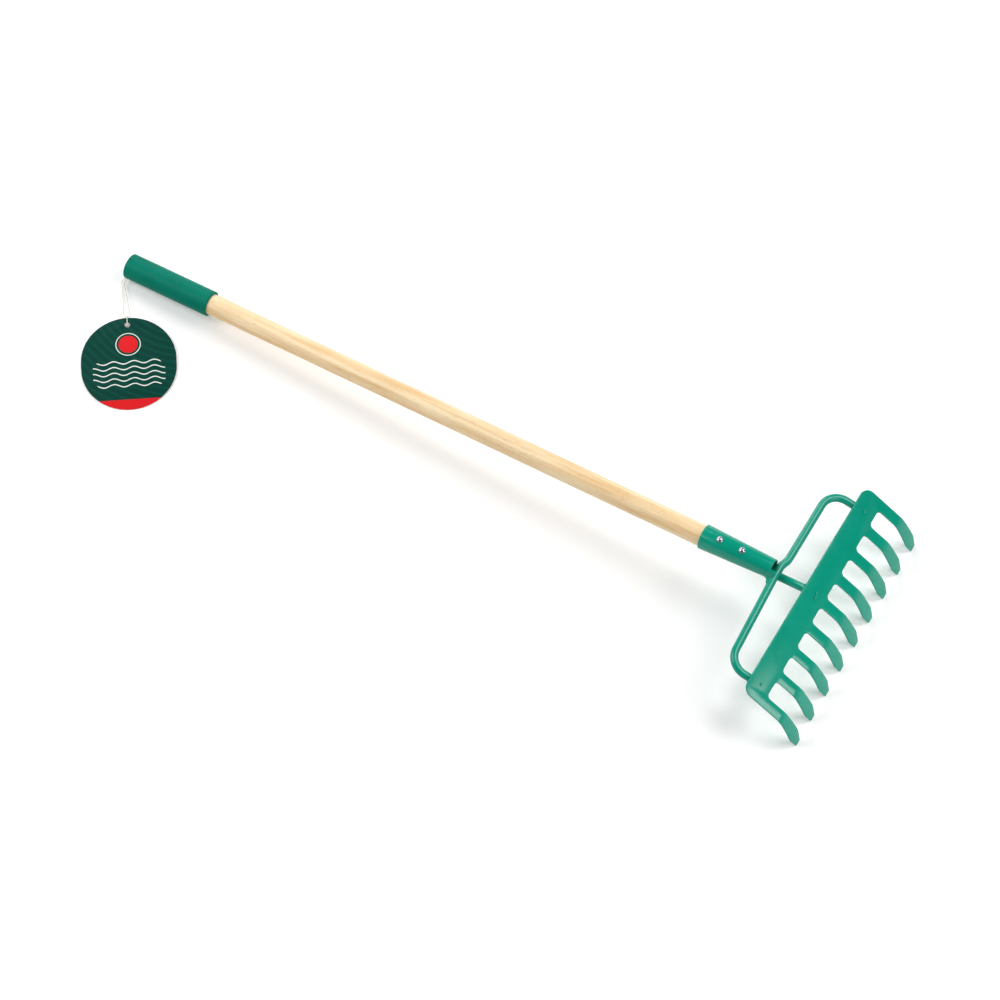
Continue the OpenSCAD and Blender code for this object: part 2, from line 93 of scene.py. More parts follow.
def select_only(obj):
    """Makes one object the active one and the only one selected."""
    if bpy.context.mode != "OBJECT":
        bpy.ops.object.mode_set(mode="OBJECT")
    bpy.ops.object.select_all(action="DESELECT")
    obj.select_set(True)
    bpy.context.view_layer.objects.active = obj


def new_object(name, data):
    """Puts data into the scene as an object."""
    obj = bpy.data.objects.new(name, data)
    bpy.context.scene.collection.objects.link(obj)
    return obj


def added(name):
    """Names the shape that was just added, and puts its place into its mesh."""
    obj = bpy.context.active_object
    obj.name = name
    bpy.ops.object.transform_apply(location=True, rotation=True, scale=True)
    return obj


def edit(obj, action="DESELECT"):
    """Opens a piece in edit mode with nothing selected, or with all of it."""
    select_only(obj)
    bpy.ops.object.mode_set(mode="EDIT")
    bpy.ops.mesh.select_mode(type="VERT")
    bpy.ops.mesh.select_all(action=action)


def pick(obj, test):
    """Selects the points of the open piece for which the test of their place is true."""
    bpy.ops.object.mode_set(mode="OBJECT")
    for edge in obj.data.edges:
        edge.select = False
    for face in obj.data.polygons:
        face.select = False
    for point in obj.data.vertices:
        point.select = test(point.co)
    bpy.ops.object.mode_set(mode="EDIT")
    bpy.ops.mesh.select_mode(type="VERT")


def modify(obj, kind, **settings):
    """Adds a modifier with its settings and applies it."""
    select_only(obj)
    modifier = obj.modifiers.new(kind.lower(), kind)
    for name, value in settings.items():
        setattr(modifier, name, value)
    bpy.ops.object.modifier_apply(modifier=modifier.name)


def bevel(obj, width, segments, degrees):
    """Rounds the edges that turn by more than an angle."""
    modify(obj, "BEVEL", width=width, segments=segments, limit_method="ANGLE",
           angle_limit=math.radians(degrees))


def clean(obj):
    """Merges doubled points and turns all the faces outwards."""
    edit(obj, "SELECT")
    bpy.ops.mesh.remove_doubles(threshold=MERGE_REACH)
    bpy.ops.mesh.normals_make_consistent(inside=False)
    bpy.ops.object.mode_set(mode="OBJECT")


def finish(obj, bench, body, slot, *replaced, crease=CREASE):
    """Smooths a piece but for its creases, lays it down from its bench and hands it to its body."""
    select_only(obj)
    bpy.ops.object.shade_smooth_by_angle(angle=math.radians(crease))
    obj.matrix_world = bench @ obj.matrix_world
    bpy.ops.object.transform_apply(location=True, rotation=True, scale=True)
    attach(obj, body)
    if replaced:
        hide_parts(*replaced)
    print(obj.name, "has", len(obj.data.polygons), "faces")


# %% [markdown]
# ## The string and its loop
# The tag hangs on a thin white string whose two ends are tucked into a hole in the corner of the grip. Its
# turn goes through a small loop that is tied through the card. A string could be a plain round tube, but a
# real one is twisted from plies. So the line is a curve with a three-lobed profile, and the tilt of its
# points grows along the way, which twists the lobes round each other.

# %% The string's route, counted from the floor below the grip's end
STRING_D = 1.0 * MM
STRING_FROM = Vector((-HANDLE_MIDDLE, 0, 0))
TURN_AT = (25, -45.6, 4.6)
string_route = [
    (6.9, -7.6, 7.9), (5.8, -8.5, 7.2), (4.2, -9.9, 6.2), (2.6, -11.4, 5.1), (1.7, -13.3, 4.2),
    (2.5, -15.4, 3.7), (5.2, -18.5, 3.5), (8, -21.5, 3.4), (10.7, -24.6, 3.4), (13.4, -27.6, 3.5),
    (16.2, -30.7, 3.7), (18.9, -33.7, 4), (21.6, -36.8, 4.3), (24, -39.3, 4.5), (25.8, -41.4, 4.6),
    (26.2, -43.7, 4.6), TURN_AT, (22.8, -46.1, 4.6), (20.8, -44.8, 4.6), (18.9, -42.1, 4.4),
    (16.6, -39.1, 4.1), (14.2, -35.7, 3.6), (11.8, -32.4, 3.2), (9.4, -29.1, 2.9), (7, -25.8, 2.7),
    (4.6, -22.5, 2.6), (2.2, -19.2, 2.6), (-0.2, -15.9, 2.7), (-1.1, -13.5, 3.1), (-0.1, -11.3, 4),
    (1.5, -9.9, 5.1), (3.1, -8.5, 6.2), (4.8, -7.1, 7.3), (5.7, -6.2, 7.9),
]
route = [STRING_FROM + MM * Vector(point) for point in string_route]


def smooth_line(points, steps):
    """A smooth (Catmull-Rom) line through the points, with a number of steps between neighbours."""
    line = []
    for i in range(len(points) - 1):
        before, here = points[max(i - 1, 0)], points[i]
        after, beyond = points[i + 1], points[min(i + 2, len(points) - 1)]
        for k in range(steps):
            t = k / steps
            bend = before - 2.5 * here + 2 * after - beyond / 2
            twist = 1.5 * (here - after) + (beyond - before) / 2
            line.append(here + t * (after - before) / 2 + t * t * bend + t * t * t * twist)
    return line + [points[-1]]


def line_length(points):
    """The length of a line of points."""
    return sum((b - a).length for a, b in zip(points, points[1:]))


STRING_STEPS = 10
string_line = smooth_line(route, STRING_STEPS)
print("string length in mm:", round(line_length(string_line) / MM, 1))

# %% Twist three plies along a line
PLIES = 3
PLY_PITCH = 3.2 * MM
PLY_DEPTH = 0.07
PROFILE_POINTS = 12


def ply_profile():
    """A closed three-lobed outline, as a curve that the string's curve sweeps."""
    data = bpy.data.curves.new("ply_profile", "CURVE")
    spline = data.splines.new("POLY")
    spline.points.add(PROFILE_POINTS - 1)
    spline.use_cyclic_u = True
    for i, point in enumerate(spline.points):
        angle = 2 * math.pi * i / PROFILE_POINTS
        radius = STRING_D / 2 * (1 - PLY_DEPTH + PLY_DEPTH * math.cos(PLIES * angle))
        point.co = (radius * math.cos(angle), radius * math.sin(angle), 0, 1)
    return new_object("ply_profile", data)


def twisted_string(name, points, closed):
    """Sweeps the lobed outline along a line of points and makes it a mesh."""
    profile = ply_profile()
    data = bpy.data.curves.new(name, "CURVE")
    data.dimensions = "3D"
    data.twist_mode = "MINIMUM"
    data.bevel_mode = "OBJECT"
    data.bevel_object = profile
    data.use_fill_caps = not closed
    spline = data.splines.new("POLY")
    spline.points.add(len(points) - 1)
    spline.use_cyclic_u = closed
    travelled = 0
    for i, point in enumerate(points):
        travelled += (point - points[i - 1]).length if i else 0
        spline.points[i].co = (*point, 1)
        spline.points[i].tilt = 2 * math.pi * travelled / PLY_PITCH
    select_only(new_object(name, data))
    bpy.ops.object.convert(target="MESH")
    bpy.data.objects.remove(profile)
    return bpy.context.view_layer.objects.active


tag_string = twisted_string("tag_string", string_line, closed=False)
clean(tag_string)
finish(tag_string, LEVEL, RAKE, STRING_SLOT, "tag_cord", crease=STRING_CREASE)

# %% The card's bench and the tied loop
TAG_W, TAG_STRAIGHT, TAG_T = 90 * MM, 7 * MM, 0.8 * MM
TAG_HEADING = math.radians(-55.5)
STRING_GAP = 0.3 * MM
TAG_EDGE = STRING_D / 2 + STRING_GAP
TAG_LEN = TAG_W + TAG_STRAIGHT
turn_place = STRING_FROM + MM * Vector(TURN_AT)
card_tilt = math.asin(turn_place.z / math.hypot(TAG_EDGE + TAG_LEN, TAG_T / 2)) - math.atan2(
    TAG_T / 2, TAG_EDGE + TAG_LEN)
card_turn = Euler((0, card_tilt, TAG_HEADING))
on_card = Matrix.Translation(turn_place) @ card_turn.to_matrix().to_4x4()
HOLE_D, HOLE_MARGIN = 5 * MM, 5 * MM
HOLE_AT = TAG_EDGE + HOLE_MARGIN + HOLE_D / 2
LOOP_R = STRING_D / 2 + STRING_GAP + STRING_D / 2
LOOP_ARC = 14
loop_line = []
for turn_x, first in ((0, 90), (HOLE_AT, -90)):
    for k in range(LOOP_ARC + 1):
        angle = math.radians(first + 180 * k / LOOP_ARC)
        loop_line.append(Vector((turn_x + LOOP_R * math.cos(angle), 0, LOOP_R * math.sin(angle))))
tag_loop = twisted_string("tag_loop", loop_line, closed=True)
clean(tag_loop)
finish(tag_loop, on_card, TAG, STRING_SLOT, "tag_hitch", crease=STRING_CREASE)

# %% [markdown]
# ## The card
# The tag is a round card, a little longer than wide, with a punched hole. A disc stretched at its middle
# gives the outline. Thickness, a cut for the hole and a hair-thin bevel make it a card, and its cut edge
# keeps a paper colour of its own.

# %% Cut the card
CARD_BEVEL, CARD_SIDES = 0.12 * MM, 128
PUNCH_SIDES, PUNCH_DEPTH = 48, 4 * TAG_T
bpy.ops.mesh.primitive_circle_add(
    vertices=CARD_SIDES, radius=TAG_W / 2, fill_type="NGON", location=(TAG_EDGE + TAG_W / 2, 0, TAG_T / 2))
card = added("tag_card_blank")
edit(card)
pick(card, lambda co: co.x > TAG_EDGE + TAG_W / 2 + CARD_BEVEL)
bpy.ops.transform.translate(value=(TAG_STRAIGHT, 0, 0))
bpy.ops.object.mode_set(mode="OBJECT")
modify(card, "SOLIDIFY", thickness=TAG_T, offset=-1)
clean(card)
bpy.ops.mesh.primitive_cylinder_add(
    vertices=PUNCH_SIDES, radius=HOLE_D / 2, depth=PUNCH_DEPTH, location=(HOLE_AT, 0, 0))
punch = added("hole_punch")
modify(card, "BOOLEAN", operation="DIFFERENCE", object=punch, solver="EXACT")
bpy.data.objects.remove(punch)
bevel(card, CARD_BEVEL, segments=2, degrees=60)
finish(card, on_card, TAG, CARD_SLOT, "tag_card")

# %% [markdown]
# ## The head plate
# The head is one pressed sheet: a band with nine broad tines, sloping down and then bending towards the
# sand. A press shop cuts a flat blank first and bends it after, and so does this step. One tine with its
# share of the band is outlined flat, widening towards its tip. An array repeats it, the outline's corners
# are rounded, and the sheet is then bent a few degrees at a time about lines across the tines.

# %% Outline one tine, flat, with X running from the band's upper edge to the tip
TINES, TINE_PITCH, TINE_W, TINE_WIDE = 9, 28 * MM, 10.5 * MM, 13.4 * MM
SHEET_T, BAND_W, FLAT_LEN = 1.8 * MM, 23.6 * MM, 43 * MM
BEND_R, TINE_R = 22 * MM, 152 * MM
BAND_SLOPE, BEND_SLOPE, TIP_SLOPE = 37.5, 62, 75
TIP_LEN, TIP_END_W, TIP_CORNER_R = 12 * MM, 7.2 * MM, 1.6 * MM
ROOT_R, PLATE_CORNER_R = 4 * MM, 10 * MM
ROOT_STEPS, TIP_STEPS, CORNER_STEPS = 8, 6, 12
HAIR = 0.01 * MM
bend_len = BEND_R * math.radians(BEND_SLOPE - BAND_SLOPE)
tine_arc = TINE_R * math.radians(TIP_SLOPE - BEND_SLOPE)
blank_len = FLAT_LEN + bend_len + tine_arc
plate_half = (TINES - 1) / 2 * TINE_PITCH + TINE_W / 2

bpy.ops.mesh.primitive_plane_add(size=1, location=(BAND_W / 2, 0, 0))
bpy.context.active_object.scale = (BAND_W, TINE_PITCH, 1)
plate = added("head_plate")
edit(plate)
for side in (-1, 1):
    bpy.ops.mesh.select_all(action="SELECT")
    bpy.ops.mesh.bisect(plane_co=(0, side * TINE_W / 2, 0), plane_no=(0, 1, 0))
pick(plate, lambda co: co.x > BAND_W - HAIR and abs(co.y) < TINE_W / 2 + HAIR)
for run, widen in ((FLAT_LEN - BAND_W, 1), (blank_len - TIP_LEN - FLAT_LEN, TINE_WIDE / TINE_W),
                   (TIP_LEN, TIP_END_W / TINE_WIDE)):
    bpy.ops.mesh.extrude_region_move(TRANSFORM_OT_translate={"value": (run, 0, 0)})
    bpy.ops.transform.resize(value=(1, widen, 1))
bpy.ops.object.mode_set(mode="OBJECT")
print("one tine has", len(plate.data.polygons), "faces")

# %% Repeat the tine and clear what is past the last one
modify(plate, "ARRAY", count=TINES, use_relative_offset=False, use_constant_offset=True,
       constant_offset_displace=(0, TINE_PITCH, 0), use_merge_vertices=True, merge_threshold=HAIR)
edit(plate, "SELECT")
bpy.ops.transform.translate(value=(0, -(TINES - 1) / 2 * TINE_PITCH, 0))
pick(plate, lambda co: co.x < BAND_W + HAIR and abs(co.y) > plate_half + HAIR)
bpy.ops.mesh.delete(type="VERT")
bpy.ops.mesh.select_all(action="SELECT")
bpy.ops.mesh.dissolve_faces()


# %% Round the outline's corners
def round_corners(piece, test, offset, segments):
    """Rounds the outline's corners at which the test of their place is true."""
    pick(piece, test)
    bpy.ops.mesh.bevel(offset=offset, offset_type="OFFSET", affect="VERTICES", segments=segments)


tip_turn = math.radians(90) - math.atan2((TINE_WIDE - TIP_END_W) / 2, TIP_LEN)
tip_offset = TIP_CORNER_R * math.tan(tip_turn / 2)
round_corners(plate, lambda co: abs(co.x - BAND_W) < HAIR and abs(co.y) < plate_half - HAIR,
              ROOT_R, ROOT_STEPS)
round_corners(plate, lambda co: co.x > blank_len - HAIR, tip_offset, TIP_STEPS)
round_corners(plate, lambda co: co.x < HAIR and abs(co.y) > plate_half - HAIR,
              PLATE_CORNER_R, CORNER_STEPS)
bpy.ops.object.mode_set(mode="OBJECT")
print("the blank's outline has", len(plate.data.vertices), "points")

# %% Bend the blank over the press's two radii, then thicken it and round its edges
BEND_STEPS, TINE_STEPS = 10, 10
EDGE_ROUND = 0.5 * MM
bends = [(FLAT_LEN + bend_len * (k + 0.5) / BEND_STEPS, (BEND_SLOPE - BAND_SLOPE) / BEND_STEPS)
         for k in range(BEND_STEPS)]
bends += [(FLAT_LEN + bend_len + tine_arc * (k + 0.5) / TINE_STEPS, (TIP_SLOPE - BEND_SLOPE) / TINE_STEPS)
          for k in range(TINE_STEPS)]
edit(plate)
for place, _ in bends:
    bpy.ops.mesh.select_all(action="SELECT")
    bpy.ops.mesh.bisect(plane_co=(place, 0, 0), plane_no=(1, 0, 0))
for place, degrees in reversed(bends):
    pick(plate, lambda co: co.x > place - HAIR)
    bpy.ops.transform.rotate(value=-math.radians(degrees), orient_axis="Y", orient_type="GLOBAL",
                             center_override=(place, 0, 0))
bpy.ops.object.mode_set(mode="OBJECT")
tip = max(plate.data.vertices, key=lambda v: v.co.x).co
print("bent tip at", [round(v / MM, 1) for v in tip])
modify(plate, "SOLIDIFY", thickness=SHEET_T, offset=-1)
clean(plate)
bevel(plate, EDGE_ROUND, segments=3, degrees=50)

# %% Set the plate on the bench at its place and slope
HEAD_EDGE = Vector((723.5, 0, -3.6)) * MM
on_band = Matrix.Translation(HEAD_EDGE) @ Matrix.Rotation(math.radians(BAND_SLOPE), 4, "Y")
finish(plate, lying @ on_band, RAKE, PAINT_SLOT, "tine_plate", crease=PLATE_CREASE)

# %% [markdown]
# ## The ferrule
# The socket on the handle's front end is a short tapered tube. It could be spun from a profile. Here an
# open cylinder has its front ring drawn in for the taper, gets a wall, and a fine bevel rounds both lips.

# %% Draw in a tube for the ferrule
FERRULE_MOUTH, FERRULE_LEN, FERRULE_WALL = 620 * MM, 71 * MM, 1.4 * MM
MOUTH_D, FRONT_D = 23.8 * MM, 18.6 * MM
LIP_ROUND, FERRULE_SIDES = 0.45 * MM, 96
FERRULE_FRONT = FERRULE_MOUTH + FERRULE_LEN
QUARTER = math.radians(90)


def add_tube(name, start, end, diameter, fill, sides, height=0):
    """A straight cylinder along the handle, at a height above its line."""
    bpy.ops.mesh.primitive_cylinder_add(
        vertices=sides, radius=diameter / 2, depth=end - start, end_fill_type=fill,
        location=((start + end) / 2, 0, height), rotation=(0, QUARTER, 0))
    return added(name)


ferrule = add_tube("ferrule_socket", FERRULE_MOUTH, FERRULE_FRONT, MOUTH_D, "NOTHING", FERRULE_SIDES)
edit(ferrule)
pick(ferrule, lambda co: co.x > FERRULE_FRONT - HAIR)
bpy.ops.transform.resize(value=(1, FRONT_D / MOUTH_D, FRONT_D / MOUTH_D))
bpy.ops.object.mode_set(mode="OBJECT")
modify(ferrule, "SOLIDIFY", thickness=FERRULE_WALL, offset=-1)
bevel(ferrule, LIP_ROUND, segments=3, degrees=50)
finish(ferrule, lying, RAKE, PAINT_SLOT, "ferrule")

# %% [markdown]
# ## The bow
# One round rod is bent into the bow: a straight middle at the ferrule, two arms, two corners and two legs
# to the head. The left arm is bent a little ahead of the middle, and the right one sweeps gently forward.
# A curve would do it. Extruding and spinning a ring of points does it as a rod bender does, one straight
# run and one bend after the other, and leaves clean rings of faces.

# %% Bend the rod, run by run, flat on its own bench
ROD_D, LEFT_LEG_Y, RIGHT_LEG_Y = 7.5 * MM, 96.5 * MM, -101.5 * MM
CORNER_R, KINK_R, EASE_R = 17.5 * MM, 15 * MM, 45 * MM
KINK, MIDDLE_HALF, ARM_START = 2.8 * MM, 7 * MM, 15 * MM
RIGHT_SWEEP, BOW_LEAN = math.radians(3), math.radians(18)
LEG_END = 56.1 * MM
BOW_AT = Vector((695.55, 0, -0.925)) * MM
ROD_SIDES = 32
BEND_ANGLE = math.radians(6)
right_arm_end = (-RIGHT_LEG_Y - MIDDLE_HALF) * math.tan(RIGHT_SWEEP)
bow_corners = [
    (LEG_END, RIGHT_LEG_Y, 0), (right_arm_end, RIGHT_LEG_Y, CORNER_R), (0, -MIDDLE_HALF, EASE_R),
    (0, MIDDLE_HALF, KINK_R), (KINK, ARM_START, KINK_R), (KINK, LEFT_LEG_Y, CORNER_R),
    (LEG_END, LEFT_LEG_Y, 0),
]
corner_at = [Vector((x, y, 0)) for x, y, _ in bow_corners]

bpy.ops.mesh.primitive_circle_add(
    vertices=ROD_SIDES, radius=ROD_D / 2, location=corner_at[0], rotation=(0, QUARTER, 0))
bow = added("bent_bow")
edit(bow, "SELECT")
reached = corner_at[0]
for i in range(1, len(corner_at) - 1):
    come = (corner_at[i] - corner_at[i - 1]).normalized()
    go = (corner_at[i + 1] - corner_at[i]).normalized()
    turn = math.atan2(come.cross(go).z, come.dot(go))
    radius = bow_corners[i][2]
    back_off = radius * math.tan(abs(turn) / 2)
    bend_start = corner_at[i] - back_off * come
    bpy.ops.mesh.extrude_region_move(TRANSFORM_OT_translate={"value": bend_start - reached})
    side = math.copysign(1, turn)
    centre = bend_start + radius * side * Vector((-come.y, come.x, 0))
    bpy.ops.mesh.spin(steps=math.ceil(abs(turn) / BEND_ANGLE), angle=abs(turn), center=centre,
                      axis=(0, 0, -side))
    reached = corner_at[i] + back_off * go
bpy.ops.mesh.extrude_region_move(TRANSFORM_OT_translate={"value": corner_at[-1] - reached})
bpy.ops.object.mode_set(mode="OBJECT")
print("bow's far end at", [round(v / MM, 1) for v in bow.data.vertices[-1].co])

# %% Trim the legs at the band and lay the bow down
band_out = on_band.to_3x3() @ Vector((0, 0, 1))
band_inside = HEAD_EDGE - SHEET_T * band_out


def trim_at_band(piece, bench):
    """Cuts a rod at the band's inner face and closes the cut."""
    to_piece = bench.inverted()
    edit(piece, "SELECT")
    bpy.ops.mesh.bisect(plane_co=to_piece @ band_inside, plane_no=to_piece.to_3x3() @ band_out,
                        clear_outer=True, use_fill=True)
    bpy.ops.object.mode_set(mode="OBJECT")


on_bow = Matrix.Translation(BOW_AT) @ Matrix.Rotation(BOW_LEAN, 4, "Y")
trim_at_band(bow, on_bow)
clean(bow)
finish(bow, lying @ on_bow, RAKE, PAINT_SLOT, "bow_rod")

# %% [markdown]
# ## The middle strut
# A straight rod runs from under the ferrule's front to the middle of the head and stops the bow from
# folding. It is a cylinder trimmed at the sloping band, with its sawn back end broken by a small bevel.

# %% Cut the strut
STRUT_D, STRUT_Z, STRUT_GAP = 7.75 * MM, -8.6 * MM, 0.05 * MM
STRUT_START = FERRULE_FRONT + STRUT_GAP
SAWN_ROUND = 0.5 * MM
strut = add_tube("middle_strut", STRUT_START, FERRULE_FRONT + LEG_END, STRUT_D, "NGON", ROD_SIDES, STRUT_Z)
edit(strut)
pick(strut, lambda co: co.x < STRUT_START + HAIR)
bpy.ops.mesh.bevel(offset=SAWN_ROUND, offset_type="OFFSET", affect="EDGES", segments=3)
trim_at_band(strut, LEVEL)
clean(strut)
finish(strut, lying, RAKE, PAINT_SLOT, "centre_strut")

# %% [markdown]
# ## The rivets
# Two bright rivets hold the ferrule on the handle. Their heads are domes with a thin rim. The dome is the
# cap of a sphere, cut off with a bisect, and its rim is bevelled. It is modelled once and copied.

# %% Cap a sphere for the rivet's head
RIVET_D, RIVET_H = 6.5 * MM, 1.8 * MM
RIVET_FIRST, RIVET_PITCH, RIVET_ROLL = 17.5 * MM, 22.5 * MM, math.radians(6)
RIVET_RIM, RIVET_SINK, DOME_STEPS = 0.35 * MM, 0.3 * MM, 48
dome_r = ((RIVET_D / 2) ** 2 + RIVET_H ** 2) / (2 * RIVET_H)
bpy.ops.mesh.primitive_uv_sphere_add(
    segments=DOME_STEPS, ring_count=DOME_STEPS, radius=dome_r, location=(0, 0, RIVET_H - dome_r))
rivet = added("rivet_pattern")
edit(rivet, "SELECT")
bpy.ops.mesh.bisect(plane_co=(0, 0, 0), plane_no=(0, 0, 1), clear_inner=True, use_fill=True)
pick(rivet, lambda co: co.z < HAIR)
bpy.ops.mesh.extrude_region_move(TRANSFORM_OT_translate={"value": (0, 0, -RIVET_SINK)})
bpy.ops.object.mode_set(mode="OBJECT")
clean(rivet)
bevel(rivet, RIVET_RIM, segments=3, degrees=30)

# %% Set both rivets into the ferrule
FERRULE_DRAFT = (MOUTH_D - FRONT_D) / 2 / FERRULE_LEN
rivet_heads = []
for i, node_name in enumerate(("rivet_rear", "rivet_front")):
    head = new_object(node_name + "_head", rivet.data.copy())
    rivet_heads.append(head)
    along = RIVET_FIRST + i * RIVET_PITCH
    seat = MOUTH_D / 2 - (along - RIVET_D / 2) * FERRULE_DRAFT
    stand = Matrix.Rotation(RIVET_ROLL, 4, "X") @ Matrix.Translation((FERRULE_MOUTH + along, 0, seat))
    finish(head, lying @ stand, RAKE, STEEL_SLOT, node_name)
bpy.data.objects.remove(rivet)

# %% [markdown]
# ## The welds
# Weld metal flows, so its edges are soft and it runs out into the steel beside it. A copy of each
# engineering weld is swollen until it sinks into its neighbours, filled with small voxels and smoothed. At
# the ferrule the weld is seen from above, so copies of the pieces it joins are filled with it: smoothing
# rounds the hollow corner between them into a fillet, and draws their own skins in, out of sight. What is
# far from the weld is then cut off.

# %% Melt a copy of each weld
WELD_VOXEL, WELD_SWELL, WELD_RUN_OUT = 0.35 * MM, 0.25 * MM, 4 * MM
SOFT_EDGE, SOFT_FILLET, SOFT_FACTOR = 8, 34, 0.5


def box_of(piece):
    """The lowest and highest corners of a mesh."""
    places = [point.co for point in piece.data.vertices]
    return [Vector([end(place[axis] for place in places) for axis in range(3)]) for end in (min, max)]


def cut_off(piece, corner, outwards):
    """Cuts a piece at three planes, a little outwards of a corner, and closes the cuts."""
    for axis in range(3):
        normal = Vector([outwards * (axis == i) for i in range(3)])
        edit(piece, "SELECT")
        bpy.ops.mesh.bisect(
            plane_co=corner + WELD_RUN_OUT * normal, plane_no=normal, clear_outer=True, use_fill=True)


def melted_weld(node_name, *joined):
    """A soft-edged copy of a weld node, run out into the pieces that it joins."""
    weld = new_object(node_name + "_bead", nodes[node_name].data.copy())
    clean(weld)
    lowest, highest = box_of(weld)
    edit(weld, "SELECT")
    bpy.ops.transform.shrink_fatten(value=WELD_SWELL)
    select_only(weld)
    for piece in joined:
        new_object(piece.name + "_double", piece.data.copy()).select_set(True)
    if joined:
        bpy.ops.object.join()
    modify(weld, "REMESH", mode="VOXEL", voxel_size=WELD_VOXEL)
    modify(weld, "SMOOTH", factor=SOFT_FACTOR, iterations=SOFT_FILLET if joined else SOFT_EDGE)
    if joined:
        cut_off(weld, lowest, -1)
        cut_off(weld, highest, 1)
    finish(weld, LEVEL, RAKE, PAINT_SLOT, node_name, crease=NO_CREASE)
    return weld


welds = [melted_weld("weld_ferrule", ferrule, bow, strut)]
welds += [melted_weld(name) for name in ("weld_bow_left", "weld_bow_right", "weld_strut")]

# %% [markdown]
# ## Heat marks
# Welding from behind raises faint pimples on the band's outer face. Each is a flat cap of a sphere,
# stretched across the band, that sinks into the sheet.

# %% Raise the heat marks on the band
MARK_RISE, MARK_BALL = 0.15 * MM, 3 * MM
MARK_SIDES, MARK_RINGS = 32, 24
# Each row: millimetres down and across the band, then the stretch across and along it.
marks_at = [
    (12.6, 1.8, 0.6, 0.3), (13.8, -1.9, 0.75, 0.28), (11.6, 96.0, 0.7, 0.3), (12.4, -101.2, 0.65, 0.3),
]
heat_marks = []
for i, (down, across, wide, long) in enumerate(marks_at):
    bpy.ops.mesh.primitive_uv_sphere_add(segments=MARK_SIDES, ring_count=MARK_RINGS, radius=MARK_BALL)
    mark = added("heat_mark_" + str(i + 1))
    edit(mark, "SELECT")
    bpy.ops.mesh.bisect(plane_co=(0, 0, 0), plane_no=(0, 0, 1), clear_inner=True, use_fill=True)
    bpy.ops.mesh.select_all(action="SELECT")
    bpy.ops.transform.resize(value=(long, wide, 2 * MARK_RISE / MARK_BALL))
    bpy.ops.transform.translate(value=(down * MM, across * MM, -MARK_RISE))
    bpy.ops.object.mode_set(mode="OBJECT")
    clean(mark)
    finish(mark, lying @ on_band, RAKE, PAINT_SLOT, crease=MARK_CREASE)
    heat_marks.append(mark)

# %% [markdown]
# ## Finishes
# Every finish is built from shader nodes that read Object coordinates in metres, so a pattern has its real
# scale. A small helper adds a node, sets its options and links its inputs. One effect is shared: a fine
# relief with a slow mottle, which is the orange peel of paint, the satin of moulded plastic or the tooth
# of card, by its scales. It is a node group, placed in each material with its own values.

# %% Node helpers and the shared relief
def feed(tree, socket, value):
    """Links a result to a socket, or sets the socket to a plain value."""
    if isinstance(value, bpy.types.NodeSocket):
        tree.links.new(value, socket)
    else:
        socket.default_value = value


def node(tree, kind, inputs=None, **settings):
    """Adds a node, sets its options, and feeds its inputs by name or number."""
    made = tree.nodes.new(kind)
    for name, value in settings.items():
        setattr(made, name, value)
    for key, value in (inputs or {}).items():
        feed(tree, made.inputs[key], value)
    return made


def calc(tree, operation, *values):
    """A Math node's result."""
    return node(tree, "ShaderNodeMath", dict(enumerate(values)), operation=operation).outputs[0]


def blend_colour(tree, amount, first, second):
    """Two colours mixed by a mask. A Mix node keeps its colours in inputs 6 and 7 and in output 2."""
    return node(tree, "ShaderNodeMix", {"Factor": amount, 6: first, 7: second}, data_type="RGBA").outputs[2]


def noise(tree, place, scale, detail=3.0, roughness=0.5):
    """A noise by its changes per metre."""
    inputs = {"Vector": place, "Scale": scale, "Detail": detail, "Roughness": roughness}
    return node(tree, "ShaderNodeTexNoise", inputs).outputs[0]


def between(tree, value, low, high, out_low=0.0, out_high=1.0):
    """A value spread from one range to another and held inside it."""
    return node(tree, "ShaderNodeMapRange", {0: value, 1: low, 2: high, 3: out_low, 4: out_high}).outputs[0]


relief = bpy.data.node_groups.new("Fine relief", "ShaderNodeTree")
relief.interface.new_socket("Place", in_out="INPUT", socket_type="NodeSocketVector")
for name, way in (("Grain", "INPUT"), ("Mottle", "INPUT"), ("Height", "OUTPUT"), ("Patches", "OUTPUT")):
    relief.interface.new_socket(name, in_out=way, socket_type="NodeSocketFloat")
given = node(relief, "NodeGroupInput").outputs
node(relief, "NodeGroupOutput", {
    "Height": noise(relief, given["Place"], given["Grain"], detail=2.0),
    "Patches": noise(relief, given["Place"], given["Mottle"], detail=4.0, roughness=0.6),
})


def start_material(name):
    """A new material with its tree, its shader and its Object coordinates."""
    material = bpy.data.materials.new(name)
    material.use_nodes = True
    tree = material.node_tree
    place = node(tree, "ShaderNodeTexCoord").outputs["Object"]
    return material, tree, tree.nodes["Principled BSDF"], place


def add_relief(tree, place, grain, mottle):
    """The shared relief's height and patches, with its changes per metre."""
    scales = {"Place": place, "Grain": grain, "Mottle": mottle}
    group = node(tree, "ShaderNodeGroup", scales, node_tree=relief)
    return group.outputs["Height"], group.outputs["Patches"]


def join(tree, shader, **sockets):
    """Feeds the shader's sockets, named with spaces for underscores."""
    for name, value in sockets.items():
        feed(tree, shader.inputs[name.replace("_", " ")], value)


def bump(tree, height, strength, depth):
    """A normal that leans with a height."""
    inputs = {"Height": height, "Strength": strength, "Distance": depth}
    return node(tree, "ShaderNodeBump", inputs).outputs[0]


CLEAR_PATCHES, SOFT_PATCHES = (0.35, 0.65), (0.3, 0.7)


def mottled(tree, shader, place, deep, light, spread, grain, mottle, strength, depth):
    """Gives a shader two colours in slow patches and a fine relief, and returns the patches."""
    height, patches = add_relief(tree, place, grain, mottle)
    join(tree, shader,
         Base_Color=blend_colour(tree, between(tree, patches, *spread), deep, light),
         Normal=bump(tree, height, strength, depth))
    return patches


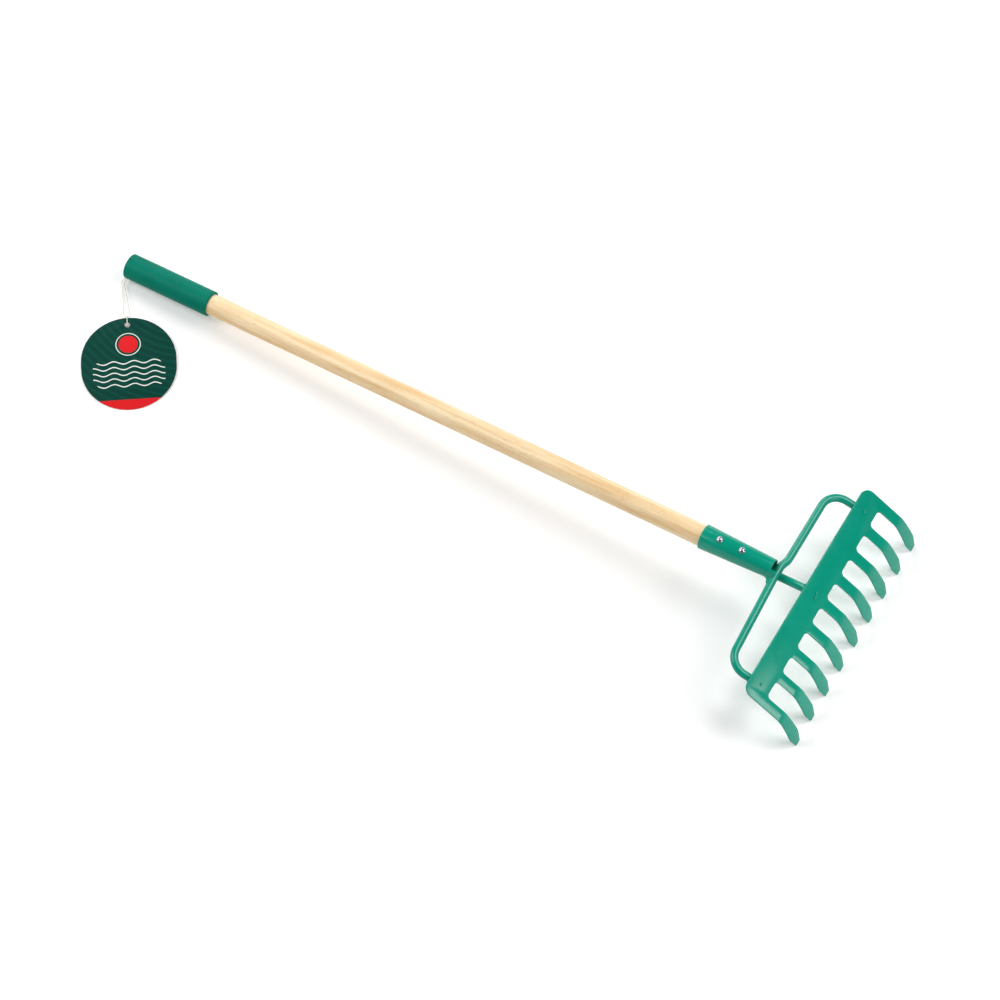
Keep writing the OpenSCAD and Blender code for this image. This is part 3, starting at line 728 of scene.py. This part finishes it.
def dress(material, *pieces):
    """Gives pieces one material."""
    for piece in pieces:
        piece.data.materials.clear()
        piece.data.materials.append(material)


# %% [markdown]
# ## Powder coat
# The steel is powder coated in a bluish green. Powder melts into a smooth skin with a faint orange peel,
# so the colour is even, the gloss is high, and reflections wobble a little.

# %% Green powder coat
PAINT_LIGHT = (0.0, 0.30, 0.20, 1)
PAINT_DEEP = (0.0, 0.28, 0.185, 1)
PAINT_ROUGH, PAINT_SHINE = (0.15, 0.21), 0.35
powder_coat, tree, shader, place = start_material("powder_coat")
patches = mottled(tree, shader, place, PAINT_DEEP, PAINT_LIGHT, CLEAR_PATCHES,
                  grain=900, mottle=60, strength=0.1, depth=0.1 * MM)
join(tree, shader, Roughness=between(tree, patches, *SOFT_PATCHES, *PAINT_ROUGH),
     Specular_IOR_Level=PAINT_SHINE)
dress(powder_coat, plate, ferrule, bow, strut, *welds, *heat_marks)

# %% [markdown]
# ## Grip plastic
# The grip is a soft dark green plastic with a satin skin: darker and duller than the paint, with a broad
# highlight along its top.

# %% Satin plastic
GRIP_LIGHT = (0.0, 0.20, 0.135, 1)
GRIP_DEEP = (0.0, 0.165, 0.11, 1)
GRIP_ROUGH, GRIP_SHINE = (0.42, 0.5), 0.06
satin_plastic, tree, shader, place = start_material("satin_plastic")
patches = mottled(tree, shader, place, GRIP_DEEP, GRIP_LIGHT, CLEAR_PATCHES,
                  grain=2600, mottle=45, strength=0.1, depth=0.06 * MM)
join(tree, shader, Roughness=between(tree, patches, *SOFT_PATCHES, *GRIP_ROUGH),
     Specular_IOR_Level=GRIP_SHINE)
dress(satin_plastic, nodes["grip_sleeve"])

# %% [markdown]
# ## Beech
# The handle is a pale dowel, sanded and waxed. Its grain runs along it in long soft streaks and shorter
# warm patches, with the small brown flecks that beech has. The coordinates are first turned level with the
# handle, and then drawn out, so that a round noise becomes a streak.

# %% Waxed beech
WOOD_PALE = (0.93, 0.74, 0.47, 1)
WOOD_WARM = (0.80, 0.53, 0.255, 1)
WOOD_FLECK = (0.50, 0.29, 0.13, 1)
WOOD_TONES, WOOD_ROUGH, WOOD_SHINE = (0.41, 0.62), (0.4, 0.52), 0.4
STREAK_SHARE, PATCH_SHARE, FLECK_SHARE = 0.55, 0.45, 0.55
FLECK_SHOWN = (0.62, 0.72)
waxed_beech, tree, shader, place = start_material("waxed_beech")
level = node(tree, "ShaderNodeMapping", {
    "Vector": place, "Location": (-HANDLE_MIDDLE, 0, HANDLE_HEIGHT), "Rotation": (0, -LAY, 0),
}, vector_type="TEXTURE").outputs[0]


def grain_noise(along, across, detail, roughness=0.5):
    """A noise drawn out along the handle, by its changes per metre along and across it."""
    drawn_out = node(tree, "ShaderNodeMapping", {"Vector": level, "Scale": (along, across, across)})
    return noise(tree, drawn_out.outputs[0], 1.0, detail, roughness)


streaks = grain_noise(along=7, across=260, detail=5.0, roughness=0.6)
warm_patches = grain_noise(along=16, across=150, detail=3.0)
flecks = grain_noise(along=170, across=1500, detail=2.0)
fleck_mask = calc(tree, "MULTIPLY", between(tree, flecks, *FLECK_SHOWN), FLECK_SHARE)
tone = calc(tree, "ADD", calc(tree, "MULTIPLY", streaks, STREAK_SHARE),
            calc(tree, "MULTIPLY", warm_patches, PATCH_SHARE))
wood_colour = blend_colour(tree, between(tree, tone, *WOOD_TONES), WOOD_PALE, WOOD_WARM)
join(tree, shader,
     Base_Color=blend_colour(tree, fleck_mask, wood_colour, WOOD_FLECK),
     Roughness=between(tree, streaks, *SOFT_PATCHES, *WOOD_ROUGH),
     Normal=bump(tree, calc(tree, "SUBTRACT", streaks, fleck_mask), strength=0.2, depth=0.08 * MM),
     Specular_IOR_Level=WOOD_SHINE)
dress(waxed_beech, nodes["handle_shaft"])

# %% [markdown]
# ## Bright steel
# The rivets are plated steel. A metal's colour is in its reflections, so its skin only has small grey
# patches and faint marks that scatter them.

# %% Plated steel
STEEL_PALE = (0.56, 0.58, 0.65, 1)
STEEL_GREY = (0.34, 0.36, 0.42, 1)
STEEL_ROUGH = (0.22, 0.34)
plated_steel, tree, shader, place = start_material("plated_steel")
patches = mottled(tree, shader, place, STEEL_GREY, STEEL_PALE, CLEAR_PATCHES,
                  grain=4000, mottle=700, strength=0.08, depth=0.03 * MM)
join(tree, shader, Roughness=between(tree, patches, *SOFT_PATCHES, *STEEL_ROUGH), Metallic=1)
dress(plated_steel, *rivet_heads)

# %% [markdown]
# ## Cotton string
# The string is off-white cotton. Its plies are in the mesh, so the finish only adds the fine fibres.

# %% Cotton
COTTON_WHITE = (0.86, 0.83, 0.74, 1)
COTTON_SHADE = (0.70, 0.66, 0.55, 1)
cotton, tree, shader, place = start_material("cotton")
mottled(tree, shader, place, COTTON_SHADE, COTTON_WHITE, SOFT_PATCHES,
        grain=6000, mottle=900, strength=0.3, depth=0.08 * MM)
join(tree, shader, Roughness=0.8, Sheen_Weight=0.2)
dress(cotton, tag_string, tag_loop)

# %% [markdown]
# ## The printed card
# The card's face is printed in dark green and sealed with a satin varnish. Its design is a plain one of
# its own: a red disc over pale raked furrows, on a ground of faint ripples, and a red foot. The
# coordinates are turned into the card's own, so U runs down the card and V across it, in metres. Masks
# made of Math nodes then lay one ink over the other. The back and the cut edge are bare board.

# %% Masks for the print
INK_GROUND = (0.0, 0.047, 0.033, 1)
INK_RIPPLE = (0.001, 0.060, 0.043, 1)
INK_RED = (0.72, 0.014, 0.018, 1)
INK_PALE = (0.84, 0.88, 0.82, 1)
INK_EDGE = 0.15 * MM
printed_card, tree, shader, place = start_material("printed_card")
on_face = node(tree, "ShaderNodeMapping", {
    "Vector": place, "Location": turn_place, "Rotation": card_turn,
}, vector_type="TEXTURE").outputs[0]
face_xyz = node(tree, "ShaderNodeSeparateXYZ", {0: on_face}).outputs
u, v = face_xyz[0], face_xyz[1]


def reach(centre_u, centre_v):
    """How far a point of the face is from a centre."""
    du = calc(tree, "SUBTRACT", u, centre_u)
    dv = calc(tree, "SUBTRACT", v, centre_v)
    squares = calc(tree, "ADD", calc(tree, "MULTIPLY", du, du), calc(tree, "MULTIPLY", dv, dv))
    return calc(tree, "SQRT", squares)


def inside(value, limit):
    """A mask that is 1 where a value is below a limit, with a thin soft edge."""
    return between(tree, value, limit - INK_EDGE, limit + INK_EDGE, 1.0, 0.0)


def line_at(value, middle, width):
    """A mask for a line of a width where a value passes a middle."""
    return inside(calc(tree, "ABSOLUTE", calc(tree, "SUBTRACT", value, middle)), width / 2)


# %% Lay the inks over one another
SUN_U, SUN_R, RING_R, RING_W = 29 * MM, 9 * MM, 11.5 * MM, 0.8 * MM
FURROW_PITCH, FURROW_W, FURROW_SWAY, FURROW_WAVE = 6 * MM, 1.1 * MM, 1.5 * MM, 330
FURROWS_U, FURROWS_LONG, FURROWS_WIDE = 60 * MM, 15 * MM, 34 * MM
FIELD_POWER = 4.0
FOOT_U = 87 * MM
RIPPLE_U, RIPPLE_V, RIPPLE_WAVE, RIPPLE_SHOWN = -40 * MM, 60 * MM, 900, (0.2, 0.6)
CARD_ROUGH, CARD_SHINE = (0.5, 0.6), 0.08
sun_reach = reach(SUN_U, 0)
ripple = calc(tree, "SINE", calc(tree, "MULTIPLY", reach(RIPPLE_U, RIPPLE_V), RIPPLE_WAVE))
sway = calc(tree, "MULTIPLY", calc(tree, "SINE", calc(tree, "MULTIPLY", v, FURROW_WAVE)), FURROW_SWAY)
swayed_u = calc(tree, "ADD", u, sway)
raked = calc(tree, "WRAP", swayed_u, FURROW_PITCH / 2, -FURROW_PITCH / 2)
field_u = calc(tree, "DIVIDE", calc(tree, "SUBTRACT", swayed_u, FURROWS_U), FURROWS_LONG)
field_v = calc(tree, "DIVIDE", v, FURROWS_WIDE)
field = calc(tree, "ADD", calc(tree, "POWER", calc(tree, "ABSOLUTE", field_u), FIELD_POWER),
             calc(tree, "POWER", calc(tree, "ABSOLUTE", field_v), FIELD_POWER))
furrows = calc(tree, "MULTIPLY", line_at(raked, 0.0, FURROW_W), calc(tree, "LESS_THAN", field, 1.0))
ink = blend_colour(tree, between(tree, ripple, *RIPPLE_SHOWN), INK_GROUND, INK_RIPPLE)
ink = blend_colour(tree, inside(sun_reach, SUN_R), ink, INK_RED)
ink = blend_colour(tree, line_at(sun_reach, RING_R, RING_W), ink, INK_PALE)
ink = blend_colour(tree, furrows, ink, INK_PALE)
ink = blend_colour(tree, between(tree, u, FOOT_U - INK_EDGE, FOOT_U + INK_EDGE), ink, INK_RED)
tooth, patches = add_relief(tree, place, grain=2200, mottle=120)
join(tree, shader, Base_Color=ink,
     Roughness=between(tree, patches, *SOFT_PATCHES, *CARD_ROUGH),
     Normal=bump(tree, tooth, strength=0.08, depth=0.05 * MM),
     Specular_IOR_Level=CARD_SHINE)

# %% Bare board on the back and the cut edge
BOARD_PALE = (0.70, 0.68, 0.62, 1)
BOARD_GREY = (0.52, 0.50, 0.45, 1)
FACE_LEAN = 0.6
bare_board, tree, shader, place = start_material("bare_board")
mottled(tree, shader, place, BOARD_GREY, BOARD_PALE, SOFT_PATCHES,
        grain=3000, mottle=300, strength=0.2, depth=0.06 * MM)
join(tree, shader, Roughness=0.85)
dress(printed_card, card)
card.data.materials.append(bare_board)
card_up = on_card.to_3x3() @ Vector((0, 0, 1))
for face in card.data.polygons:
    face.material_index = 0 if face.normal.dot(card_up) > FACE_LEAN else 1
print("printed faces:", sum(face.material_index == 0 for face in card.data.polygons))

# %% [markdown]
# ## Floor, light and air
# The rake lies on a wide pale sweep. Three softboxes light it from the right, the back and the left. The
# right one is placed where the rods and the band's edge mirror it as a thin bright line, and a small one
# near the head leaves a sheen on its end. The room is white near the floor and dim overhead, so paint
# keeps its colour. Power is worked out from the level that a softbox gives at the place that it lights.
# The floor is lifted a little where the lamps no longer reach, so it stays white to its edge.

# %% Floor
FLOOR_R, FLOOR_SIDES = 12.0, 96
FLOOR_WHITE, WHITE = (0.9, 0.9, 0.9, 1), (1, 1, 1, 1)
MOTTLE_SHARE = 0.02
NEAR_LIFT, FAR_LIFT = 0.16, 0.8
LIT_R, UNLIT_R = 0.7, 2.4
bpy.ops.mesh.primitive_circle_add(vertices=FLOOR_SIDES, radius=FLOOR_R, fill_type="NGON")
floor = added("studio_floor")
pale_sweep, tree, shader, place = start_material("pale_sweep")
_, patches = add_relief(tree, place, grain=1200, mottle=3)
rays = node(tree, "ShaderNodeLightPath").outputs
mirrored = calc(tree, "MAXIMUM", rays["Is Glossy Ray"], rays["Is Transmission Ray"])
seen = calc(tree, "MAXIMUM", rays["Is Camera Ray"], mirrored)
away = node(tree, "ShaderNodeVectorMath", {0: place}, operation="LENGTH").outputs["Value"]
lift = between(tree, away, LIT_R, UNLIT_R, NEAR_LIFT, FAR_LIFT)
join(tree, shader,
     Base_Color=blend_colour(tree, calc(tree, "MULTIPLY", patches, MOTTLE_SHARE), FLOOR_WHITE, WHITE),
     Roughness=0.9, Specular_IOR_Level=0.1,
     Emission_Color=WHITE, Emission_Strength=calc(tree, "MULTIPLY", seen, lift))
dress(pale_sweep, floor)

# %% Softboxes and room
RAKE_MIDDLE = Vector((0.05, 0, 0.03))
HEAD_END = Vector((0.343, -0.2, 0.055))
ROOM_LOW, ROOM_HIGH, ROOM_BRIGHT, ROOM_DIM = 0.05, 0.4, 1.0, 0.1


def softbox(name, direction, distance, width, height, level, lit=RAKE_MIDDLE):
    """A rectangular lamp that gives a level of light at a place, where 1 shows a colour as written."""
    lamp = bpy.data.lights.new(name, "AREA")
    lamp.shape = "RECTANGLE"
    lamp.size = width
    lamp.size_y = height
    lamp.energy = level * math.pi ** 2 * distance ** 2
    box = new_object(name, lamp)
    towards = Vector(direction).normalized()
    box.location = lit + distance * towards
    box.rotation_euler = towards.to_track_quat("Z", "Y").to_euler()


softbox("softbox_right", (0.4, 0.395, 0.83), distance=2.2, width=0.9, height=1.1, level=0.5)
softbox("softbox_back", (-0.6, 0.6, 0.53), distance=2.4, width=1.2, height=1.0, level=0.38)
softbox("softbox_left", (-0.65, -0.3, 0.7), distance=2.2, width=1.2, height=1.0, level=0.52)
softbox("softbox_head", (0.777, 0.388, 0.496), distance=0.45, width=0.16, height=0.16, level=0.3,
        lit=HEAD_END)

room = bpy.data.worlds.new("studio_room")
bpy.context.scene.world = room
room.use_nodes = True
tree = room.node_tree
sky = node(tree, "ShaderNodeTexCoord").outputs["Generated"]
height = node(tree, "ShaderNodeSeparateXYZ", {0: sky}).outputs[2]
join(tree, tree.nodes["Background"],
     Color=WHITE, Strength=between(tree, height, ROOM_LOW, ROOM_HIGH, ROOM_BRIGHT, ROOM_DIM))
bpy.context.scene.view_settings.view_transform = "Standard"
